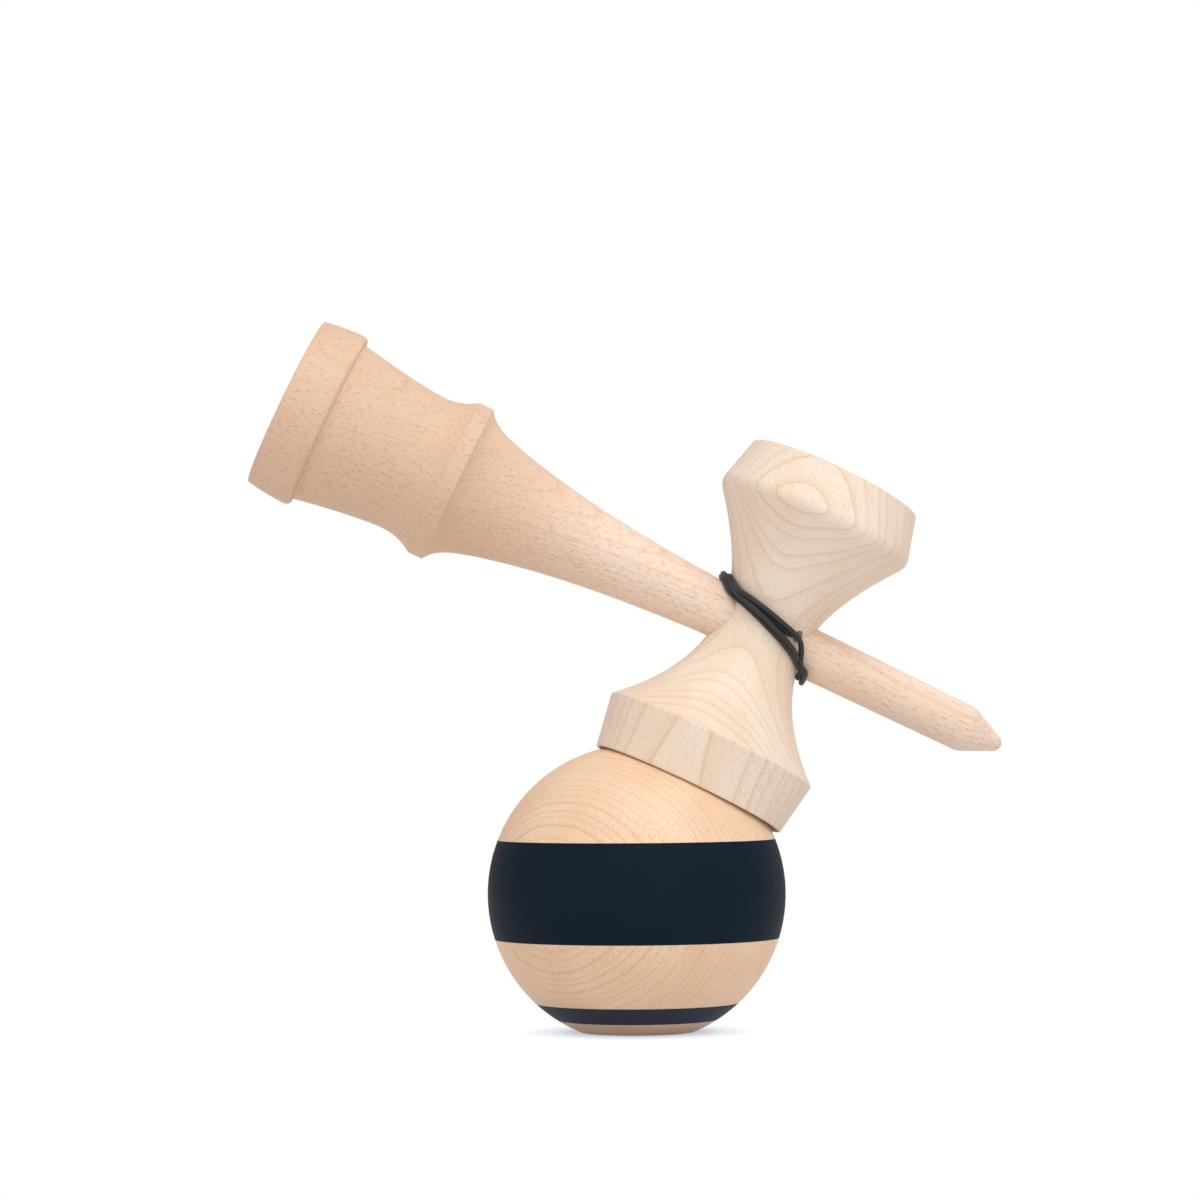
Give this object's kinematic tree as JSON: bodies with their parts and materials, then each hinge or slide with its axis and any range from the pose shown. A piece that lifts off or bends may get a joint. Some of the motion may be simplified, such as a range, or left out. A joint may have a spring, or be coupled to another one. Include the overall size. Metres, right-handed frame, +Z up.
{
  "type": "kendama",
  "caption": "Wooden cup-and-ball toy: spiked handle with a slip-on cross piece of cups, balanced on its drilled and painted ball, string wound round the crossing.",
  "frame": {"origin": "on the floor under the middle of the part's length", "axes": "+X towards the spike, +Y away from the front, +Z up"},
  "size_m": [0.1524, 0.06, 0.1435],
  "materials": {
    "ball_wood": "turned beech, thin clear lacquer",
    "ken_wood": "turned beech, bare and smooth",
    "cross_wood": "turned pale beech, bare and smooth",
    "band_paint": "matte blue-black paint",
    "stripe_paint": "matte grey-blue paint",
    "string": "braided string"
  },
  "bodies": {
    "ball": {"tama": "ball_wood", "tama_band": "band_paint", "tama_stripe": "stripe_paint"},
    "bead": {"bead": "ken_wood", "bead_knot": "string", "string_inner": "string"},
    "string": {"string_under": "string"},
    "ken": {"ken": "ken_wood", "sarado": "cross_wood", "string_wrap": "string", "string_lead": "string", "ken_knot": "string"}
  },
  "joints": [
    {"name": "string_swivel", "type": "hinge", "parent": "ball", "child": "bead", "pos_m": [0.00181, 0, 0.02771], "axis": [0, 0, 1], "continuous": true},
    {"name": "ken_rock", "type": "hinge", "parent": "bead", "child": "string", "pos_m": [0.00181, 0, 0.02771], "axis": [0, 1, 0], "range_deg": [-5, 12]},
    {"name": "ken_lift", "type": "slide", "parent": "string", "child": "ken", "axis": [0.4356, 0.0741, 0.8971], "range_m": [0, 0.03]}
  ]
}
